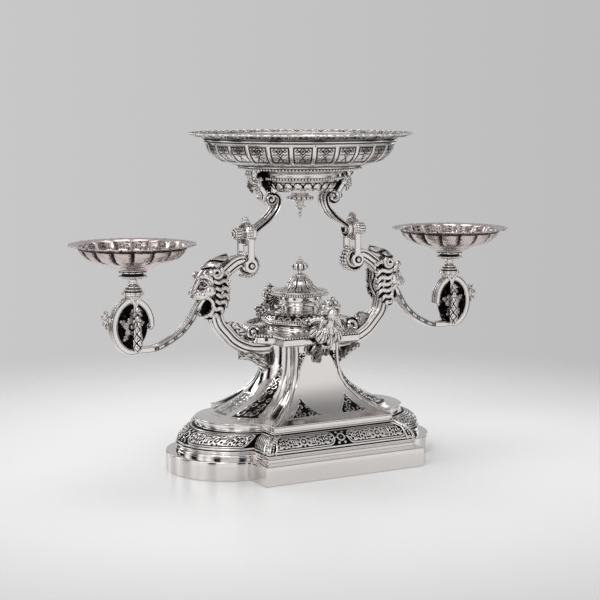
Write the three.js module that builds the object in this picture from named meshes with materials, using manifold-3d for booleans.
// Silver table centerpiece: lobed base, covered urn, two branches with dishes, a bowl on a swinging frame.
// Millimetres, +Z up, origin under the middle of the plinth, +X along the length, the front faces -Y.
// The left half is the right half turned half round about the upright axis.
import * as THREE from 'three';
import { mergeVertices } from 'three/addons/utils/BufferGeometryUtils.js';
import Module from 'manifold-3d';

const wasm = await Module();
wasm.setup();

// Clearances and walls
const fit = 0.3;
const turnFit = 0.45;
const sheetWall = 2.4;
const bowlWall = 1.8;

// Base: a centre block with a round lobe at each end, drawn in tier by tier
const plinthPlan = { halfLength: 122.9, halfWidth: 129.3, lobeCentre: 110.9, lobeRadius: 86.7 };
const plinthHeight = 25.4;
const plinthLedge = 26;
const stepDrawIn = { halfLength: 8.4, halfWidth: 10.4, lobeCentre: 4, lobeRadius: 9.7 };
const stepHeight = 11.6;
const stepLedge = 14;
const friezeDrawIn = { halfLength: 1.6, halfWidth: 1.4, lobeCentre: 0, lobeRadius: 1.5 };
const friezeLean = { halfLength: 18, halfWidth: 19, lobeCentre: 17, lobeRadius: 6.5 };
const friezeHeight = 22;
const friezeSweep = 75;
const friezeLedge = 9;
const capDrawIn = { halfLength: 2.5, halfWidth: 4, lobeCentre: 1.2, lobeRadius: 3 };
const capHeight = 11;
const capLedge = 24;
const mouldingWall = 6;
const pedestalDrawIn = { halfLength: 1, halfWidth: 1, lobeCentre: 10, lobeRadius: 2 };
const neckPlan = { halfLength: 34, halfWidth: 48, lobeCentre: 21, lobeRadius: 34 };
const pedestalHeight = 97;
const pedestalFlare = 3.4;
const lobeSteps = 7;
const turnedSteps = 22;
const smallSteps = 12;

// Platform and the rod that ties it to the pedestal
const platformPlan = { halfLength: 60, halfWidth: 62, lobeCentre: 42, lobeRadius: 38 };
const platformHeight = 14;
const fasciaHeight = 5.5;
const ovoloDrawIn = 9;
const rodRadius = 3;
const nutRadius = 7;
const nutHeight = 6;

// Urn
const urnFootHeight = 9;
const urnFootRadius = 48;
const urnBodyHeight = 39;
const urnBellyRadius = 53.3;
const urnDrumRadius = 30.5;
const urnMouthRadius = 27.6;
const lidBrimRadius = 39.5;
const lidSkirtDepth = 6;
const lidHeight = 31;
const finialHeight = 23;

// Arms: reeded bands from under the platform up to the pins of the links
const armWidth = 20;
const armThickness = 13;
const armBow = 133.5;
const armSteps = 18;
const eyeX = 84;
const eyeRise = 94.5;
const eyeRadius = 15;
const voluteRadius = 12;
const slotDepth = 14;
const leafWidth = 30;
const screwRadius = 2.2;

// Masks, branches and rings
const maskRise = 62;
const branchWidth = 14;
const branchThickness = 9;
const dishX = 250;
const ringOffset = 3;
const ringHalfWidth = 26.5;
const ringHalfHeight = 34.1;
const ringRise = 23.6;
const webThickness = 3;

// Sockets, drops and dishes
const socketRadius = 15;
const socketHeight = 4.8;
const spigotRadius = 4;
const spigotLength = 9;
const strapThickness = 2;
const strapDrop = 21;
const pegRadius = 1.6;
const dropLength = 57;
const dropThickness = 7.5;
const stemHeight = 29;
const stemSeatRadius = 18.2;
const dishRadius = 84;
const dishHeight = 35.7;

// Links, studs and knobs
const pinRadius = 3.5;
const plateGap = 28.4;
const plateThickness = 3.2;
const plateWidth = 9;
const plateEyeRadius = 9.5;
const linkRise = 42.6;
const headRadius = 16.5;
const crestHeight = 22;
const studRadius = 3.5;
const knobRadius = 8.4;
const knobLength = 11;
const collarLength = 4.2;
const knobFlutes = 6;

// Brackets, cup and bowl
const bracketWidth = 22;
const bracketThickness = 7.5;
const bracketEndRadius = 12;
const bracketEndLength = 7;
const scrollRadius = 9.5;
const scrollX = 49;
const cupRise = 54.9;
const cupFloorRadius = 33;
const cupRimRadius = 86.8;
const cupHeight = 36;
const pendantLength = 38.7;
const consoleInset = 13;
const consoleThickness = 7;
const consoleWidth = 17;
const bowlDepth = 37;
const bowlSideRadius = 131;
const bowlRimRadius = 155;
const rimHeight = 8;

// Heights of the stack, from the table up
const stepBase = plinthHeight;
const friezeBase = stepBase + stepHeight;
const capBase = friezeBase + friezeHeight;
const pedestalBase = capBase + capHeight;
const platformBase = pedestalBase + pedestalHeight;
const platformTop = platformBase + platformHeight;
const urnBase = platformTop + urnFootHeight;
const lidBase = urnBase + urnBodyHeight;
const finialBase = lidBase + lidHeight;
const eyeZ = platformTop + eyeRise;
const headZ = eyeZ + linkRise;
const cupBase = headZ + cupRise;
const bowlBase = cupBase + cupHeight;
const rimBase = bowlBase + bowlDepth;
const ringZ = platformTop + ringRise;
const socketTop = ringZ + ringHalfHeight + branchThickness / 2 + socketHeight;
const dishBase = socketTop + stemHeight;
const maskZ = platformTop + maskRise;
const scrollZ = cupBase - scrollRadius + 0.6;

// Geometry helpers

function closedGeometry(positions, triangles) {
  const geometry = new THREE.BufferGeometry();
  geometry.setAttribute('position', new THREE.Float32BufferAttribute(positions, 3));
  geometry.setIndex(triangles);
  return geometry;
}

function asSolid(geometry) {
  const bare = geometry.index ? geometry.toNonIndexed() : geometry.clone();
  bare.deleteAttribute('normal');
  bare.deleteAttribute('uv');
  const merged = mergeVertices(bare, 1e-4);
  const corners = merged.index.array;
  const whole = [];
  for (let i = 0; i < corners.length; i += 3) {
    const [a, b, c] = [corners[i], corners[i + 1], corners[i + 2]];
    if (a !== b && b !== c && c !== a) whole.push(a, b, c);
  }
  const mesh = new wasm.Mesh({
    numProp: 3,
    vertProperties: new Float32Array(merged.attributes.position.array),
    triVerts: new Uint32Array(whole),
  });
  const solid = new wasm.Manifold(mesh);
  if (solid.volume() >= 0) return solid;
  return asSolid(flipped(closedGeometry(merged.attributes.position.array, whole)));
}

function flipped(geometry) {
  const order = Array.from(geometry.index.array);
  for (let i = 0; i < order.length; i += 3) [order[i], order[i + 1]] = [order[i + 1], order[i]];
  geometry.setIndex(order);
  return geometry;
}

function geometryOf(solid) {
  const mesh = solid.getMesh();
  const geometry = closedGeometry(Array.from(mesh.vertProperties), Array.from(mesh.triVerts));
  return geometry;
}

// Rings of points joined one to the next; a loop closes on itself, anything else gets flat ends
function loft(rings, loop = false) {
  const count = rings[0].length;
  const positions = rings.flat().flatMap((p) => [p.x, p.y, p.z]);
  const triangles = [];
  const bands = loop ? rings.length : rings.length - 1;
  for (let r = 0; r < bands; r += 1) {
    const low = r * count;
    const high = ((r + 1) % rings.length) * count;
    for (let i = 0; i < count; i += 1) {
      const j = (i + 1) % count;
      triangles.push(low + i, low + j, high + j, low + i, high + j, high + i);
    }
  }
  if (!loop) closeEnds(rings, positions, triangles);
  return asSolid(closedGeometry(positions, triangles));
}

function closeEnds(rings, positions, triangles) {
  const count = rings[0].length;
  const ends = [[rings[0], 0, true], [rings.at(-1), (rings.length - 1) * count, false]];
  for (const [ring, start, reverse] of ends) {
    const middle = new THREE.Vector3();
    ring.forEach((p) => middle.add(p));
    middle.divideScalar(count);
    const hub = positions.length / 3;
    positions.push(middle.x, middle.y, middle.z);
    for (let i = 0; i < count; i += 1) {
      const [a, b] = [start + i, start + (i + 1) % count];
      triangles.push(...(reverse ? [hub, b, a] : [hub, a, b]));
    }
  }
}

// A profile of [radius, height] points turned about the upright axis
function turned(profile, segments) {
  const points = profile.map(([r, z]) => new THREE.Vector2(r, z));
  return asSolid(new THREE.LatheGeometry(points, segments).rotateX(Math.PI / 2));
}

// The same profile standing proud all round, used to cut a seat in a neighbour
function turnedCutter(profile, segments, grow) {
  const wide = turned(profile.map(([r, z]) => [r > 0 ? r + grow : 0, z]), segments);
  return wide.add(wide.translate([0, 0, -grow])).add(wide.translate([0, 0, grow]));
}

function rod(axis, radius, from, to, [u, v] = [0, 0], segments = smallSteps) {
  const upright = turned([[0, from], [radius, from], [radius, to], [0, to]], segments);
  if (axis === 'x') return upright.rotate([0, 90, 0]).translate([0, u, v]);
  if (axis === 'y') return upright.rotate([-90, 0, 0]).translate([u, 0, v]);
  return upright.translate([u, v, 0]);
}

function block([x0, x1], [y0, y1], [z0, z1]) {
  const geometry = new THREE.BoxGeometry(x1 - x0, y1 - y0, z1 - z0);
  return asSolid(geometry.translate((x0 + x1) / 2, (y0 + y1) / 2, (z0 + z1) / 2));
}

function egg([x, y, z], [rx, ry, rz], across = 8, up = 6) {
  const geometry = new THREE.SphereGeometry(1, across, up).rotateX(Math.PI / 2);
  return asSolid(geometry.scale(rx, ry, rz).translate(x, y, z));
}

function joined(...solids) {
  return solids.reduce((whole, solid) => whole.add(solid));
}

function cut(solid, ...tools) {
  return tools.reduce((whole, tool) => whole.subtract(tool), solid);
}

// A flat band that follows a smooth curve through [x, z] points, its width across Y
function band(points, thickness, width, steps, grow = 0) {
  const upright = points.map(([x, z]) => new THREE.Vector3(x, 0, z));
  const curve = new THREE.CatmullRomCurve3(upright, false, 'centripetal');
  const [t, w] = [thickness / 2 + grow, width / 2 + grow];
  const outline = [[-t, -w], [t, -w], [t, w], [-t, w]];
  const rings = [];
  for (let i = 0; i <= steps; i += 1) {
    const at = curve.getPointAt(i / steps);
    const along = curve.getTangentAt(i / steps);
    if (grow && i === 0) at.addScaledVector(along, -grow);
    if (grow && i === steps) at.addScaledVector(along, grow);
    rings.push(outline.map(([a, b]) => new THREE.Vector3(at.x - along.z * a, b, at.z + along.x * a)));
  }
  return loft(rings);
}

// Plans: a centre block with a lobe at each end

function drawnIn(plan, by) {
  const smaller = {};
  for (const key of Object.keys(plan)) smaller[key] = plan[key] - by[key];
  return smaller;
}

function offsetIn(plan, distance) {
  return drawnIn(plan, { halfLength: distance, halfWidth: distance, lobeCentre: 0, lobeRadius: distance });
}

function between(plan, other, share) {
  const mixed = {};
  for (const key of Object.keys(plan)) mixed[key] = plan[key] + (other[key] - plan[key]) * share;
  return mixed;
}

function reachOf(plan) {
  return plan.lobeCentre + plan.lobeRadius;
}

function planRing(plan, z) {
  const ring = [];
  const meeting = (plan.halfLength - plan.lobeCentre) / plan.lobeRadius;
  const swing = Math.acos(THREE.MathUtils.clamp(meeting, -1, 1));
  for (const side of [1, -1]) {
    for (let i = 0; i <= lobeSteps; i += 1) {
      const angle = swing * (2 * i / lobeSteps - 1);
      const x = plan.lobeCentre + plan.lobeRadius * Math.cos(angle);
      ring.push(new THREE.Vector3(side * x, side * plan.lobeRadius * Math.sin(angle), z));
    }
    ring.push(new THREE.Vector3(side * plan.halfLength, side * plan.halfWidth, z));
    ring.push(new THREE.Vector3(-side * plan.halfLength, side * plan.halfWidth, z));
  }
  return ring;
}

// A round hole with as many points as the plan, each in the same direction from the middle
function holeRing(plan, radius, z) {
  return planRing(plan, z).map((p) => {
    const angle = Math.atan2(p.y, p.x);
    return new THREE.Vector3(radius * Math.cos(angle), radius * Math.sin(angle), z);
  });
}

// Base

const stepPlan = drawnIn(plinthPlan, stepDrawIn);
const friezePlan = drawnIn(stepPlan, friezeDrawIn);
const friezeTopPlan = drawnIn(friezePlan, friezeLean);
const capPlan = drawnIn(friezeTopPlan, capDrawIn);
const pedestalPlan = drawnIn(capPlan, pedestalDrawIn);

function plinth() {
  const ledge = offsetIn(plinthPlan, plinthLedge);
  const inside = offsetIn(plinthPlan, sheetWall);
  return loft([
    planRing(plinthPlan, 0), planRing(plinthPlan, plinthHeight),
    planRing(ledge, plinthHeight), planRing(ledge, plinthHeight - sheetWall),
    planRing(inside, plinthHeight - sheetWall), planRing(inside, 0),
  ], true);
}

function stepMoulding() {
  const inside = offsetIn(stepPlan, stepLedge);
  const back = offsetIn(stepPlan, mouldingWall);
  const waist = offsetIn(stepPlan, 2.6);
  return loft([
    planRing(stepPlan, stepBase), planRing(stepPlan, stepBase + stepHeight * 0.42),
    planRing(waist, stepBase + stepHeight * 0.6), planRing(offsetIn(friezePlan, -1), friezeBase - 1.6),
    planRing(offsetIn(friezePlan, -1), friezeBase), planRing(inside, friezeBase),
    planRing(inside, friezeBase - sheetWall), planRing(back, friezeBase - sheetWall),
    planRing(back, stepBase),
  ], true);
}

// The frieze swells outwards: its foot stands upright and its top leans in along part of a quarter circle
function friezeRings(grow) {
  const steps = 5;
  const rings = [];
  for (let i = 0; i <= steps; i += 1) {
    const angle = THREE.MathUtils.degToRad(friezeSweep * i / steps);
    const full = THREE.MathUtils.degToRad(friezeSweep);
    const plan = between(friezePlan, friezeTopPlan, (1 - Math.cos(angle)) / (1 - Math.cos(full)));
    const z = friezeBase + friezeHeight * Math.sin(angle) / Math.sin(full);
    rings.push(planRing(offsetIn(plan, -grow), z));
  }
  return rings;
}

// A ledge along its top carries the cap moulding
function frieze() {
  const ledge = offsetIn(friezeTopPlan, friezeLedge);
  const inside = friezeRings(-sheetWall).slice(0, -1);
  return loft([
    ...friezeRings(0), planRing(ledge, capBase), planRing(ledge, capBase - sheetWall), ...inside.reverse(),
  ], true);
}

function capMoulding() {
  const inside = offsetIn(capPlan, capLedge);
  const back = offsetIn(capPlan, mouldingWall);
  const cove = offsetIn(capPlan, 1.6);
  return loft([
    planRing(offsetIn(capPlan, -1), capBase), planRing(offsetIn(capPlan, -1), capBase + 1.6),
    planRing(cove, capBase + 3), planRing(capPlan, capBase + 5),
    planRing(offsetIn(capPlan, -0.5), capBase + capHeight * 0.75), planRing(capPlan, pedestalBase),
    planRing(inside, pedestalBase), planRing(inside, pedestalBase - sheetWall),
    planRing(back, pedestalBase - sheetWall), planRing(back, capBase),
  ], true);
}

// The pedestal flares towards its foot as a power of the height that is left
function pedestalRings(grow, topCut = 0) {
  const rings = [];
  for (const share of [0, 0.04, 0.1, 0.18, 0.28, 0.42, 0.62, 1]) {
    const flare = Math.pow(1 - share, pedestalFlare);
    const z = pedestalBase + pedestalHeight * share - (share === 1 ? topCut : 0);
    rings.push(planRing(offsetIn(between(neckPlan, pedestalPlan, flare), -grow), z));
  }
  return rings;
}

function pedestal() {
  const shell = loft([
    ...pedestalRings(0),
    holeRing(neckPlan, rodRadius, platformBase), holeRing(neckPlan, rodRadius, platformBase - sheetWall),
    ...pedestalRings(-sheetWall, sheetWall).reverse(),
  ], true);
  return cut(shell, rodHole());
}

function rodHole() {
  return rod('z', rodRadius + turnFit, platformBase - 10, platformTop + 10);
}

function pedestalCutter() {
  return loft(pedestalRings(fit));
}

// Platform

function platform() {
  const soffit = offsetIn(platformPlan, ovoloDrawIn);
  const quirk = offsetIn(platformPlan, 1.4);
  const fasciaBase = platformTop - fasciaHeight;
  const plate = loft([
    holeRing(platformPlan, rodRadius, platformBase), planRing(soffit, platformBase),
    planRing(offsetIn(platformPlan, ovoloDrawIn * 0.45), platformBase + 2.2),
    planRing(offsetIn(platformPlan, 2.4), fasciaBase - 1.4), planRing(quirk, fasciaBase),
    planRing(platformPlan, fasciaBase + 0.4), planRing(platformPlan, platformTop),
    holeRing(platformPlan, rodRadius, platformTop),
  ], true);
  return cut(plate, rodHole(), platformSlot(1), platformSlot(-1));
}

const slotX = reachOf(platformPlan) - slotDepth;
const slotHalfWidth = armWidth / 2 + fit;

function platformSlot(side) {
  const far = reachOf(platformPlan) + 10;
  const xs = side > 0 ? [slotX, far] : [-far, -slotX];
  return block(xs, [-slotHalfWidth, slotHalfWidth], [platformBase - 5, platformTop + 5]);
}

function platformCutter() {
  const plan = offsetIn(platformPlan, -fit);
  return loft([planRing(plan, platformBase - fit), planRing(plan, platformTop + fit)]);
}

function tieRod() {
  const headBase = platformTop + sheetWall;
  const tail = platformBase - sheetWall - nutHeight - 6;
  return joined(
    rod('z', rodRadius, tail, headBase + 1),
    rod('z', nutRadius, headBase, headBase + 4.5, [0, 0], 6),
  );
}

function tieNut() {
  const top = platformBase - sheetWall;
  const nut = joined(
    rod('z', nutRadius + 4, top - 2, top, [0, 0], 20),
    rod('z', nutRadius, top - 2 - nutHeight, top - 1, [0, 0], 6),
  );
  return cut(nut, rod('z', rodRadius + fit, top - 20, top + 5));
}

// Urn

function urnFoot() {
  const floor = platformTop + sheetWall;
  const inner = urnFootRadius - 6;
  const bore = rodRadius + turnFit;
  return turned([
    [bore, platformTop], [urnFootRadius, platformTop], [urnFootRadius + 1, platformTop + 2],
    [urnFootRadius, urnBase], [inner, urnBase],
    [inner, floor], [bore, floor], [bore, platformTop],
  ], turnedSteps);
}

function urnBody() {
  const neck = urnDrumRadius - 4.2;
  const floor = urnBase + sheetWall;
  const skirtFloor = lidBase - lidSkirtDepth - 2;
  return turned([
    [0, urnBase], [urnFootRadius, urnBase], [urnBellyRadius, urnBase + 7],
    [urnBellyRadius - 2, urnBase + 11], [urnBellyRadius - 14, urnBase + 17], [neck, urnBase + 21],
    [urnDrumRadius - 1.5, urnBase + 26], [urnDrumRadius, lidBase],
    [urnMouthRadius, lidBase], [urnMouthRadius, skirtFloor], [neck - sheetWall, urnBase + 22],
    [neck - sheetWall, urnBase + 18], [urnBellyRadius - 15, urnBase + 14.5],
    [urnFootRadius - 2, floor], [0, floor],
  ], turnedSteps);
}

function urnLid() {
  const skirt = urnMouthRadius - turnFit;
  const crown = finialBase - 2.4;
  return turned([
    [0, lidBase + 22], [13, lidBase + 14], [18, lidBase + 6], [skirt - 1.6, lidBase + 3],
    [skirt - 1.6, lidBase - lidSkirtDepth], [skirt, lidBase - lidSkirtDepth], [skirt, lidBase],
    [lidBrimRadius, lidBase + 1.5], [lidBrimRadius, lidBase + 7], [30, lidBase + 8.5], [20.8, lidBase + 9.5],
    [15.6, lidBase + 17], [7.6, crown - 2], [8.3, finialBase], [0, finialBase],
  ], turnedSteps);
}

function lidFinial() {
  const top = finialBase + finialHeight;
  return turned([
    [0, finialBase], [4.1, finialBase], [4.1, finialBase + 3.5],
    [11.6, finialBase + 9], [10.6, finialBase + 12],
    [4, finialBase + 15], [4.6, finialBase + 18], [0, top],
  ], smallSteps);
}

// Busts stand out from the platform on scroll brackets, with leaf wings to both sides

function bust() {
  const face = -(platformPlan.halfWidth + 24);
  const chest = platformTop + 9;
  const head = platformTop + 41;
  const wings = egg([0, face + 17, chest + 2], [54, 8, 8], 8, 4);
  const whole = joined(
    egg([0, face + 2, head + 2], [13, 15, 19]), egg([0, face + 12, head + 6], [17, 4, 15], 6, 4),
    rod('z', 6.5, chest, head, [0, face + 3], 6), egg([0, face + 6, chest + 3], [20, 12, 11], 8, 4),
    egg([0, face + 14, chest - 22], [9, 12, 26], 8, 4), wings,
    block([-11, 11], [face + 6, face + 30], [chest - 16, chest - 4]),
  );
  return cut(whole, platformCutter(), pedestalCutter());
}

// Arms, with a hub on each side of the upper eye that keeps the link plates apart

const plateInner = plateGap / 2;
const plateOuter = plateInner + plateThickness;
const armRootX = reachOf(neckPlan) - 4;
const armRootZ = platformBase - fit - armThickness / 2;
const voluteX = slotX + fit + voluteRadius;
const voluteZ = platformTop + 2;

function armPath() {
  const reach = reachOf(platformPlan);
  return [
    [armRootX, armRootZ], [reach - 6, armRootZ + 0.5], [reach + 8, armRootZ + 4],
    [reach + 25, armRootZ + 13], [reach + 37, armRootZ + 25], [armBow - 5, armRootZ + 39],
    [armBow - 0.5, maskZ - 26], [armBow, maskZ - 10], [armBow - 3, maskZ + 6], [armBow - 11, maskZ + 21],
    [armBow - 24, eyeZ - 3], [eyeX + 12, eyeZ + 5], [eyeX + 4, eyeZ + 4],
  ];
}

function innerStrip() {
  return band([
    [armBow - 17, armRootZ + 38], [armBow - 29, armRootZ + 23], [armBow - 40, armRootZ + 15],
    [voluteX + 6, armRootZ + 10.5], [voluteX - 2, voluteZ - voluteRadius + 3],
  ], 5, armWidth - 4, 5);
}

function armCutter() {
  return joined(band(armPath(), armThickness, armWidth, armSteps, fit), innerStrip());
}

function arm() {
  const half = armWidth / 2;
  const bands = joined(
    band(armPath(), armThickness, armWidth, armSteps), innerStrip(),
    rod('y', voluteRadius, -half, half, [voluteX, voluteZ], 16),
    rod('y', eyeRadius, -half, half, [eyeX, eyeZ], 18),
    rod('y', pinRadius + 4, fit - plateInner, plateInner - fit, [eyeX, eyeZ]),
  );
  const bore = rod('y', pinRadius + turnFit, -plateInner, plateInner, [eyeX, eyeZ]);
  return cut(bands, bore, platformCutter().subtract(platformSlot(1)), pedestalCutter(), screwHole());
}

// Corbel leaf under the root of each arm, held with the arm by one screw from below
const screwX = armRootX + 22;
const leafBase = armRootZ - armThickness / 2;

function pedestalLeaf() {
  const outline = new THREE.Shape();
  outline.moveTo(armRootX - 4, leafBase + 8);
  outline.lineTo(armRootX + 48, leafBase + 8);
  outline.lineTo(armRootX + 47, leafBase - 1);
  outline.quadraticCurveTo(armRootX + 20, leafBase - 6, armRootX + 12, leafBase - 21);
  outline.lineTo(armRootX - 4, leafBase - 30);
  const settings = { depth: leafWidth, bevelEnabled: false, curveSegments: 6 };
  const geometry = new THREE.ExtrudeGeometry(outline, settings);
  const slab = asSolid(geometry.rotateX(Math.PI / 2).translate(0, leafWidth / 2, 0));
  return cut(slab, armCutter(), armShadow(), pedestalCutter(), platformCutter(), screwHole());
}

// Everything above the arm, so that the leaf only lies under it
function armShadow() {
  const width = leafWidth + 4;
  const raised = armPath().map(([x, z]) => [x, z + armThickness / 2]);
  const above = band(raised, armThickness, width, armSteps, fit);
  return above.add(band(armPath(), armThickness, width, armSteps, fit));
}

function screwHole() {
  return rod('z', screwRadius + fit, leafBase - 40, leafBase + 9, [screwX, 0], 12);
}

function armScrew() {
  const headBase = leafBase - 6.2;
  return rod('z', screwRadius, headBase, leafBase + 8, [screwX, 0], 12);
}

// Lion mask on the outer side of each arm; arm and branch pass through it

function lionMask() {
  const x = armBow;
  const whole = joined(
    egg([x + 4, 0, maskZ + 6], [22, 25, 28], 10, 6), egg([x - 4, 0, maskZ - 3], [17, 26, 34], 10, 6),
    egg([x + 21, 0, maskZ - 2], [14, 13, 11]), egg([x + 12, 0, maskZ - 25], [12, 12, 10]),
    egg([x + 2, -17, maskZ + 24], [8, 7, 9], 6, 4), egg([x + 2, 17, maskZ + 24], [8, 7, 9], 6, 4),
  );
  return cut(whole, armCutter(), branchBand(fit));
}

// Branch: out of the mouth, down, along and round into a ring

const ringX = dishX + ringOffset;

function branchPath() {
  const points = [
    [armBow + 17, maskZ - 10], [armBow + 23, maskZ - 17], [armBow + 28, maskZ - 25],
    [armBow + 36, maskZ - 38], [armBow + 51, maskZ - 53], [dishX - 47, ringZ - 25.5],
    [dishX - 29, ringZ - ringHalfHeight + 2],
  ];
  for (const degrees of [-105, -75, -45, -15, 15, 45, 75, 105, 135, 160, 182]) {
    const angle = THREE.MathUtils.degToRad(degrees);
    points.push([ringX + ringHalfWidth * Math.cos(angle), ringZ + ringHalfHeight * Math.sin(angle)]);
  }
  return points;
}

function branchBand(grow) {
  return band(branchPath(), branchThickness, branchWidth, 30, grow);
}

function spigotHole() {
  return rod('z', spigotRadius + fit, socketTop - spigotLength - 1, socketTop + 5, [dishX, 0], 10);
}

function branch() {
  const half = branchWidth / 2;
  const end = branchPath().at(-1);
  const curl = rod('y', 6.5, -half, half, [end[0] - 1, end[1]], 14);
  return cut(joined(branchBand(0), curl), spigotHole());
}

function ringRosette() {
  const inner = [ringHalfWidth - branchThickness / 2 - fit, ringHalfHeight - branchThickness / 2 - fit];
  const half = webThickness / 2;
  const disc = new THREE.CylinderGeometry(1, 1, webThickness, 24).scale(inner[0], 1, inner[1]);
  const web = asSolid(disc.translate(ringX, 0, ringZ));
  const flower = egg([ringX, 0, ringZ], [15, half + 5, 15], 10, 4);
  return cut(joined(web, flower), branchBand(fit), rod('y', 6.5 + fit, -20, 20, branchPath().at(-1), 14));
}

function ringLeaf() {
  const x = ringX + ringHalfWidth + branchThickness / 2;
  return cut(egg([x + 2, 0, ringZ + 10], [6.5, 11.5, 14]), branchBand(fit));
}

// Socket on top of the ring, with a forked strap and a peg in front and behind

const strapY = branchWidth / 2 + fit;
const pegZ = socketTop - strapDrop;
const dropY = strapY + strapThickness + fit;

function strap(side) {
  const outline = new THREE.Shape();
  outline.moveTo(-3, -strapDrop - 4);
  outline.lineTo(3, -strapDrop - 4);
  outline.lineTo(3.2, -strapDrop + 5);
  outline.lineTo(8, -2);
  outline.lineTo(-8, -2);
  outline.lineTo(-3.2, -strapDrop + 5);
  const geometry = new THREE.ExtrudeGeometry(outline, { depth: strapThickness, bevelEnabled: false });
  const plate = asSolid(geometry.rotateX(Math.PI / 2).translate(dishX, 0, socketTop));
  const near = side > 0 ? strapY + strapThickness : -strapY;
  return plate.translate([0, near, 0]);
}

function peg(side) {
  const [near, far] = [strapY + strapThickness / 2, dropY + dropThickness + fit];
  const [shankFrom, shankTo] = side > 0 ? [near, far + 1] : [-far - 1, -near];
  const [headFrom, headTo] = side > 0 ? [far, far + 1.6] : [-far - 1.6, -far];
  return joined(
    rod('y', pegRadius, shankFrom, shankTo, [dishX, pegZ], 10),
    rod('y', pegRadius + 1.6, headFrom, headTo, [dishX, pegZ], 10),
  );
}

function dishSocket() {
  const cup = turned([
    [0, socketTop - 14], [7, socketTop - 14], [9.6, socketTop - 5], [10, socketTop - 3.5],
    [socketRadius, socketTop - 2.6], [socketRadius, socketTop], [0, socketTop],
  ], 16).translate([dishX, 0, 0]);
  const whole = joined(cup, strap(1), strap(-1), peg(1), peg(-1));
  return cut(whole, branchBand(fit), spigotHole());
}

// Laurel drop that swings on a peg; built about its own upright line, in front of the ring
function huskDrop() {
  const near = -dropY;
  const middle = near - dropThickness / 2;
  const section = (z, halfX, halfY) => [[-1, 0], [-0.6, -1], [0.6, -1], [1, 0], [0.6, 1], [-0.6, 1]].map(
    ([x, y]) => new THREE.Vector3(halfX * x, middle + halfY * y, z),
  );
  const half = dropThickness / 2;
  const body = loft([
    section(pegZ - dropLength, 3, 2.2), section(pegZ - dropLength * 0.86, 7, half),
    section(pegZ - dropLength * 0.5, 5.6, half), section(pegZ - 6, 4, half * 0.8),
    section(pegZ - 2, 3, half * 0.7),
  ]);
  const eye = rod('y', 4.2, near - dropThickness, near, [0, pegZ], 10);
  return cut(joined(body, eye), rod('y', pegRadius + fit, near - 20, near + 5, [0, pegZ], 10));
}

// Dishes and their stems

function dishStem() {
  const z = socketTop;
  const under = z - spigotLength;
  return turned([
    [0, under], [spigotRadius, under], [spigotRadius, z], [socketRadius, z], [socketRadius, z + 2.6],
    [8.6, z + 4.6], [9.6, z + 8], [6.4, z + 11.5], [5.8, z + 15.5], [8, z + 19.5], [17.4, z + 21.5],
    [20.3, z + 23.8], [stemSeatRadius, dishBase], [0, dishBase],
  ], 16);
}

function dishProfile() {
  const z = dishBase;
  return [
    [stemSeatRadius, z], [22, z + 4], [36, z + 10.5], [dishRadius * 0.64, z + 16.5],
    [dishRadius * 0.82, z + 27.5], [dishRadius, z + dishHeight - 1.4],
  ];
}

function dish() {
  const z = dishBase;
  return turned([
    [0, z], ...dishProfile(), [dishRadius, z + dishHeight], [dishRadius - 5, z + dishHeight],
    [dishRadius * 0.82 - 2, z + 27.5 + bowlWall], [dishRadius * 0.64 - 2, z + 16.5 + bowlWall],
    [36, z + 10.5 + bowlWall], [16, z + bowlWall], [0, z + bowlWall],
  ], 28);
}

// Links from the arm eyes up to the bowl frame

const headBack = eyeX - plateWidth / 2;
const headFront = eyeX + plateWidth / 2;

function headCutter() {
  return rod('x', headRadius + fit, headBack - 10, headFront + 10, [0, headZ], 20);
}

// Built about its own upright line, in front of the arm
function linkPlate() {
  const half = plateWidth / 2;
  const bar = block([-half, half], [-plateOuter, -plateInner], [eyeZ, headZ - headRadius * 0.4]);
  const eye = rod('y', plateEyeRadius, -plateOuter, -plateInner, [0, eyeZ], 14);
  const bore = rod('y', pinRadius + fit, -plateOuter - 5, -plateInner + 5, [0, eyeZ]);
  return cut(joined(bar, eye), bore, headCutter().translate([-eyeX, 0, 0]));
}

function linkHead() {
  const boss = rod('x', headRadius, headBack, headFront, [0, headZ], 20);
  const crestRise = crestHeight - headRadius + 3;
  const crest = egg([eyeX, 0, headZ + headRadius - 3], [plateWidth / 2 - 1, 11, crestRise]);
  const bore = rod('x', studRadius + turnFit, headBack - 5, headFront + 5, [0, headZ]);
  return cut(joined(boss, crest), bore);
}

function linkPin() {
  const end = plateOuter + fit;
  return joined(
    rod('y', pinRadius, -end - 1, end + 1, [eyeX, eyeZ]),
    rod('y', plateEyeRadius - 2, -end - 3.4, -end, [eyeX, eyeZ], 12),
    rod('y', plateEyeRadius - 2, end, end + 3.4, [eyeX, eyeZ], 12),
  );
}

const bracketNear = headBack - fit;
const bracketFar = bracketNear - bracketEndLength;
const knobNear = headFront + fit;

function stud() {
  return joined(
    rod('x', studRadius, bracketFar - 1, knobNear + collarLength + knobLength - 4, [0, headZ]),
    rod('x', studRadius + 3, bracketFar - 3.2, bracketFar - fit, [0, headZ], 12),
  );
}

function knob() {
  const [start, neck, end] = [knobNear, knobNear + collarLength, knobNear + collarLength + knobLength];
  const body = turned([
    [0, start], [7, start], [7, neck - 1], [knobRadius, neck + 0.6], [knobRadius, end - 2.4],
    [knobRadius - 2.6, end], [0, end],
  ], 12).rotate([0, 90, 0]);
  const flutes = [];
  for (let i = 0; i < knobFlutes; i += 1) {
    const angle = 2 * Math.PI * i / knobFlutes;
    const [y, z] = [(knobRadius + 1) * Math.cos(angle), (knobRadius + 1) * Math.sin(angle)];
    flutes.push(rod('x', 1.7, neck + 1.6, end + 2, [y, z], 6));
  }
  const bore = rod('x', studRadius + fit, start - 5, end - 3.5);
  return cut(body, ...flutes, bore).translate([0, 0, headZ]);
}

// Brackets between the links and the cup

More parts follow.
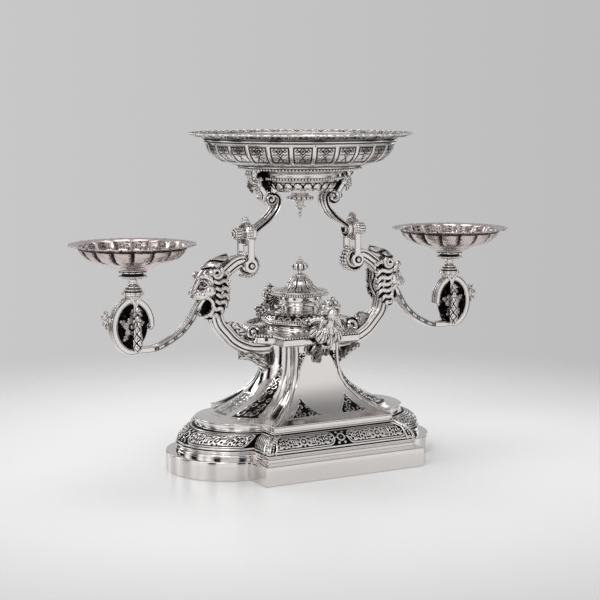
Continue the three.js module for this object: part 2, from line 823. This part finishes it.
function bracketPath() {
  const rise = scrollZ - headZ;
  return [
    [bracketNear - 1, headZ], [bracketNear - 12, headZ + rise * 0.17], [scrollX + 3, headZ + rise * 0.41],
    [scrollX - 9, headZ + rise * 0.72], [scrollX - 12, scrollZ], [scrollX - 6, scrollZ + 7],
  ];
}

function bracketBody(grow) {
  const half = bracketWidth / 2 + grow;
  return joined(
    band(bracketPath(), bracketThickness, bracketWidth, 10, grow),
    rod('y', scrollRadius + grow, -half, half, [scrollX, scrollZ], 14),
    rod('x', bracketEndRadius + grow, bracketFar - grow, bracketNear + grow, [0, headZ], 16),
  );
}

function bracket() {
  const pad = block([scrollX - 11, scrollX], [-8, 8], [scrollZ - 2, cupBase + cupHeight / 2]);
  const bore = rod('x', studRadius + fit, bracketFar - 20, bracketNear + 5, [0, headZ]);
  const headSpace = rod('x', studRadius + 3 + fit, bracketFar - 30, bracketFar, [0, headZ], 12);
  const outside = block([bracketNear, bracketNear + 40], [-40, 40], [headZ - 40, headZ + 40]);
  return cut(joined(bracketBody(0), pad), cupCutter(), bore, headSpace, outside);
}

// Cup, pendant and scroll consoles under the bowl

function cupOutside() {
  const up = (share) => cupBase + cupHeight * share;
  return [
    [0, cupBase], [cupFloorRadius, cupBase], [48.8, up(0.19)], [54, up(0.39)], [59.6, up(0.52)],
    [57, up(0.58)], [60, up(0.72)], [68, up(0.85)], [cupRimRadius - 2, up(0.94)],
    [cupRimRadius, up(0.96)], [cupRimRadius, bowlBase],
  ];
}

function bowlCup() {
  const up = (share) => cupBase + cupHeight * share;
  const floor = cupBase + bowlWall;
  return turned([
    ...cupOutside(), [62, bowlBase], [55, up(0.72)], [53, up(0.56)], [47, up(0.31)], [32, floor], [0, floor],
  ], turnedSteps);
}

function cupCutter() {
  return turnedCutter([...cupOutside(), [0, bowlBase]], turnedSteps, fit);
}

function pendantFinial() {
  const z = cupBase;
  return turned([
    [0, z - pendantLength], [3, z - 34], [1.8, z - 27], [8.2, z - 22], [4.6, z - 16],
    [19.2, z - 11], [19.2, z - 7.5], [11, z - 3], [12, z], [0, z],
  ], smallSteps);
}

function sideConsole() {
  const x = cupRimRadius - consoleInset;
  const body = joined(
    band([
      [x, bowlBase - 3], [x + 2, bowlBase - 12], [x - 2, bowlBase - 21], [x - 10, bowlBase - 30],
      [x - 15.5, bowlBase - 38], [x - 16.5, bowlBase - 46],
    ], consoleThickness, consoleWidth, 8),
    egg([x + 1, 0, bowlBase - 14], [6.5, 8, 8]),
    block([x - 24, x], [-consoleWidth / 3, consoleWidth / 3], [bowlBase - 22, bowlBase - 6]),
  );
  return cut(body, cupCutter(), bracketBody(fit));
}

// Bowl

function mainBowl() {
  const up = (share) => bowlBase + bowlDepth * share;
  const side = bowlSideRadius;
  const floor = bowlBase + bowlWall;
  return turned([
    [0, bowlBase], [cupRimRadius, bowlBase], [side - 30, up(0.11)], [side - 13, up(0.3)],
    [side - 4, up(0.57)], [side - 1.5, up(0.78)], [side + 1.6, up(0.95)], [side + 1.6, rimBase],
    [side - 1.2, rimBase], [side - 3.6, up(0.78)], [side - 6.4, up(0.58)],
    [side - 15, up(0.35)], [cupRimRadius + 1, floor], [0, floor],
  ], 36);
}

function bowlRim() {
  const z = rimBase;
  const top = z + rimHeight;
  return turned([
    [bowlSideRadius - 1.2, z], [bowlSideRadius + 2.4, z], [bowlSideRadius + 14, z + 2.4],
    [bowlRimRadius - 1, top - 2.4],
    [bowlRimRadius, top - 1], [bowlRimRadius - 1, top], [bowlSideRadius + 13, z + 4.8],
    [bowlSideRadius - 1.2, z + 2.2], [bowlSideRadius - 1.2, z],
  ], 36);
}

// Assembly

const centerpiece = new THREE.Group();
const bowlFrame = new THREE.Group();
const liftingBowl = new THREE.Group();
const liftingLid = new THREE.Group();
centerpiece.add(bowlFrame, liftingLid);
bowlFrame.add(liftingBowl);

function silver(tone, roughness) {
  return new THREE.MeshStandardMaterial({ color: tone, roughness, metalness: 1 });
}

const polished = [0xd9d7d3, 0.16];
const cast = [0xb9b6b0, 0.32];
const dark = [0x4a4744, 0.5];
const plain = [0xc8c5bf, 0.4];

function place(parent, name, solid, finish, { x = 0, turn = 0 } = {}) {
  const mesh = new THREE.Mesh(geometryOf(solid), silver(...finish));
  mesh.name = name;
  mesh.position.x = x;
  mesh.rotation.z = turn;
  parent.add(mesh);
}

place(centerpiece, 'base_plinth', plinth(), polished);
place(centerpiece, 'base_step_moulding', stepMoulding(), polished);
place(centerpiece, 'base_frieze', frieze(), cast);
place(centerpiece, 'base_cap_moulding', capMoulding(), polished);
place(centerpiece, 'pedestal_body', pedestal(), polished);
place(centerpiece, 'platform', platform(), cast);
place(centerpiece, 'tie_rod', tieRod(), plain);
place(centerpiece, 'tie_nut', tieNut(), plain);
place(centerpiece, 'urn_foot', urnFoot(), cast);
place(centerpiece, 'urn_body', urnBody(), cast);
place(liftingLid, 'urn_lid', urnLid(), cast);
place(liftingLid, 'lid_finial', lidFinial(), cast);
place(centerpiece, 'bust_front', bust(), cast);
place(centerpiece, 'bust_back', bust(), cast, { turn: Math.PI });
place(bowlFrame, 'bowl_cup', bowlCup(), cast);
place(bowlFrame, 'pendant_finial', pendantFinial(), cast);
place(liftingBowl, 'main_bowl', mainBowl(), polished);
place(liftingBowl, 'bowl_rim', bowlRim(), cast);

const sideParts = {
  pedestal_leaf: [pedestalLeaf(), cast],
  arm: [arm(), polished],
  arm_screw: [armScrew(), plain],
  lion_mask: [lionMask(), cast],
  branch: [branch(), polished],
  ring_rosette: [ringRosette(), dark],
  ring_leaf: [ringLeaf(), cast],
  dish_socket: [dishSocket(), cast],
  link_head: [linkHead(), cast],
  link_pin: [linkPin(), cast],
};
const liftingParts = { dish_stem: [dishStem(), polished], dish: [dish(), polished] };
const frameParts = {
  stud: [stud(), plain],
  knob: [knob(), cast],
  bracket: [bracket(), polished],
  console: [sideConsole(), cast],
};

for (const [side, turn] of [['right', 0], ['left', Math.PI]]) {
  const fixed = new THREE.Group();
  const lifting = new THREE.Group();
  const swinging = new THREE.Group();
  for (const group of [fixed, lifting, swinging]) group.rotation.z = turn;
  centerpiece.add(fixed, lifting);
  bowlFrame.add(swinging);
  for (const [name, [solid, finish]] of Object.entries(sideParts)) {
    place(fixed, `${name}_${side}`, solid, finish);
  }
  for (const [name, [solid, finish]] of Object.entries(liftingParts)) {
    place(lifting, `${name}_${side}`, solid, finish, { x: dishX });
  }
  for (const [name, [solid, finish]] of Object.entries(frameParts)) {
    place(swinging, `${name}_${side}`, solid, finish);
  }
  for (const [end, spin] of [['front', turn], ['back', Math.PI - turn]]) {
    place(fixed, `link_plate_${end}_${side}`, linkPlate(), polished, { x: eyeX, turn: spin });
    place(fixed, `husk_drop_${end}_${side}`, huskDrop(), cast, { x: dishX, turn: spin });
  }
}

export default centerpiece;
